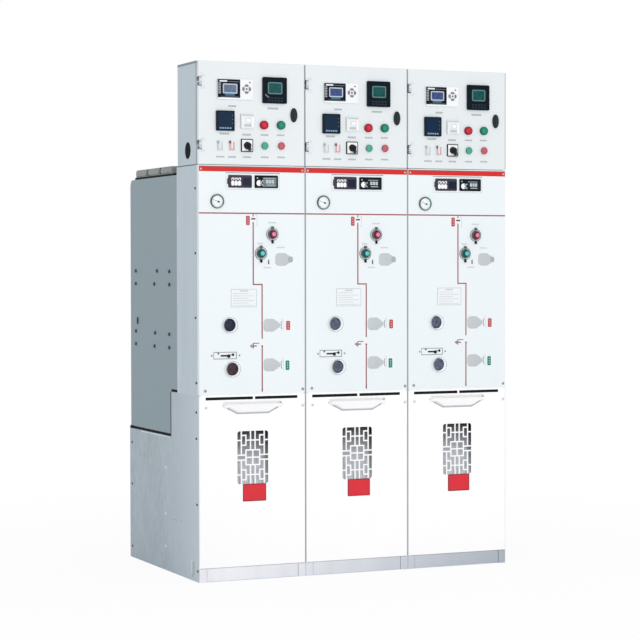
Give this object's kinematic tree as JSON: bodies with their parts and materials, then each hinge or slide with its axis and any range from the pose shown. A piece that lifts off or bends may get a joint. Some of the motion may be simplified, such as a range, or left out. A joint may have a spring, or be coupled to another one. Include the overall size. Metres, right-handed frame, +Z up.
{
  "type": "gas-insulated medium-voltage switchgear row",
  "caption": "Free-standing row of gas-insulated switchgear modules with hinged low-voltage doors, operating mechanism fronts and cable doors with fretwork grilles.",
  "frame": {"origin": "on the floor, below the middle of the bounding box", "axes": "+X to the right seen from the front, +Y towards the back, +Z up; the fronts face -Y"},
  "size_m": [1.26, 0.8, 1.885],
  "materials": {
    "fronts_white": "satin powder coat",
    "side_grey": "satin powder coat, blue-grey",
    "base_grey": "galvanised sheet",
    "tank_steel": "matt stainless plate",
    "seal_black": "matt black rubber",
    "duct_grey": "cast resin, grey",
    "device_black": "moulded, black",
    "gauge_white": "white dial under a clear face",
    "rim_white": "moulded, white",
    "pane_dark": "dark sight pane",
    "shutter_grey": "satin grey",
    "bezel_grey": "moulded, dark grey",
    "button_green": "green push button",
    "button_red": "red push button",
    "knob_black": "moulded, black"
  },
  "bodies": {
    "switchgear": {"plinth_front": "fronts_white", "grille_shades": "base_grey", "pressure_gauges": "gauge_white", "instrument_windows": "device_black", "sight_rims": "rim_white", "sight_panes": "pane_dark", "access_shutters": "shutter_grey", "button_bezels": "bezel_grey", "tank_seals": "seal_black", "busbar_duct": "duct_grey", "cable_box_1": "base_grey", "cable_door_1": "fronts_white", "mechanism_box_1": "side_grey", "mechanism_cover_1": "fronts_white", "lv_box_1": "side_grey", "gas_tank_1": "tank_steel", "cable_box_2": "base_grey", "cable_door_2": "fronts_white", "mechanism_box_2": "side_grey", "mechanism_cover_2": "fronts_white", "lv_box_2": "side_grey", "gas_tank_2": "tank_steel", "cable_box_3": "base_grey", "cable_door_3": "fronts_white", "mechanism_box_3": "side_grey", "mechanism_cover_3": "fronts_white", "lv_box_3": "side_grey", "gas_tank_3": "tank_steel"},
    "upper_door_1": {"lv_door_1": "fronts_white", "door_instruments_1": "device_black"},
    "selector_1": {"selector_knob_1": "knob_black"},
    "lock_1": {"door_lock_1": "knob_black"},
    "on_button_1": {"push_button_on_1": "button_green"},
    "off_button_1": {"push_button_off_1": "button_red"},
    "upper_door_2": {"lv_door_2": "fronts_white", "door_instruments_2": "device_black"},
    "selector_2": {"selector_knob_2": "knob_black"},
    "lock_2": {"door_lock_2": "knob_black"},
    "on_button_2": {"push_button_on_2": "button_green"},
    "off_button_2": {"push_button_off_2": "button_red"},
    "upper_door_3": {"lv_door_3": "fronts_white", "door_instruments_3": "device_black"},
    "selector_3": {"selector_knob_3": "knob_black"},
    "lock_3": {"door_lock_3": "knob_black"},
    "on_button_3": {"push_button_on_3": "button_green"},
    "off_button_3": {"push_button_off_3": "button_red"}
  },
  "joints": [
    {"name": "door_1_hinge", "type": "hinge", "parent": "switchgear", "child": "upper_door_1", "pos_m": [-0.622, -0.374, 1.696], "axis": [0, 0, -1], "range_deg": [0, 100]},
    {"name": "selector_1_turn", "type": "hinge", "parent": "upper_door_1", "child": "selector_1", "pos_m": [-0.441, -0.39, 1.5825], "axis": [0, -1, 0], "range_deg": [0, 90]},
    {"name": "lock_1_turn", "type": "hinge", "parent": "upper_door_1", "child": "lock_1", "pos_m": [-0.256, -0.375, 1.697], "axis": [0, -1, 0], "range_deg": [0, 90]},
    {"name": "on_button_1_push", "type": "slide", "parent": "switchgear", "child": "on_button_1", "axis": [0, 1, 0], "range_m": [0, 0.005], "stiffness_N_per_m": 600, "springref_m": -0.002},
    {"name": "off_button_1_push", "type": "slide", "parent": "switchgear", "child": "off_button_1", "axis": [0, 1, 0], "range_m": [0, 0.005], "stiffness_N_per_m": 600, "springref_m": -0.002},
    {"name": "door_2_hinge", "type": "hinge", "parent": "switchgear", "child": "upper_door_2", "pos_m": [-0.202, -0.374, 1.696], "axis": [0, 0, -1], "range_deg": [0, 100]},
    {"name": "selector_2_turn", "type": "hinge", "parent": "upper_door_2", "child": "selector_2", "pos_m": [-0.021, -0.39, 1.5825], "axis": [0, -1, 0], "range_deg": [0, 90]},
    {"name": "lock_2_turn", "type": "hinge", "parent": "upper_door_2", "child": "lock_2", "pos_m": [0.164, -0.375, 1.697], "axis": [0, -1, 0], "range_deg": [0, 90]},
    {"name": "on_button_2_push", "type": "slide", "parent": "switchgear", "child": "on_button_2", "axis": [0, 1, 0], "range_m": [0, 0.005], "stiffness_N_per_m": 600, "springref_m": -0.002},
    {"name": "off_button_2_push", "type": "slide", "parent": "switchgear", "child": "off_button_2", "axis": [0, 1, 0], "range_m": [0, 0.005], "stiffness_N_per_m": 600, "springref_m": -0.002},
    {"name": "door_3_hinge", "type": "hinge", "parent": "switchgear", "child": "upper_door_3", "pos_m": [0.218, -0.374, 1.696], "axis": [0, 0, -1], "range_deg": [0, 100]},
    {"name": "selector_3_turn", "type": "hinge", "parent": "upper_door_3", "child": "selector_3", "pos_m": [0.399, -0.39, 1.5825], "axis": [0, -1, 0], "range_deg": [0, 90]},
    {"name": "lock_3_turn", "type": "hinge", "parent": "upper_door_3", "child": "lock_3", "pos_m": [0.584, -0.375, 1.697], "axis": [0, -1, 0], "range_deg": [0, 90]},
    {"name": "on_button_3_push", "type": "slide", "parent": "switchgear", "child": "on_button_3", "axis": [0, 1, 0], "range_m": [0, 0.005], "stiffness_N_per_m": 600, "springref_m": -0.002},
    {"name": "off_button_3_push", "type": "slide", "parent": "switchgear", "child": "off_button_3", "axis": [0, 1, 0], "range_m": [0, 0.005], "stiffness_N_per_m": 600, "springref_m": -0.002}
  ]
}
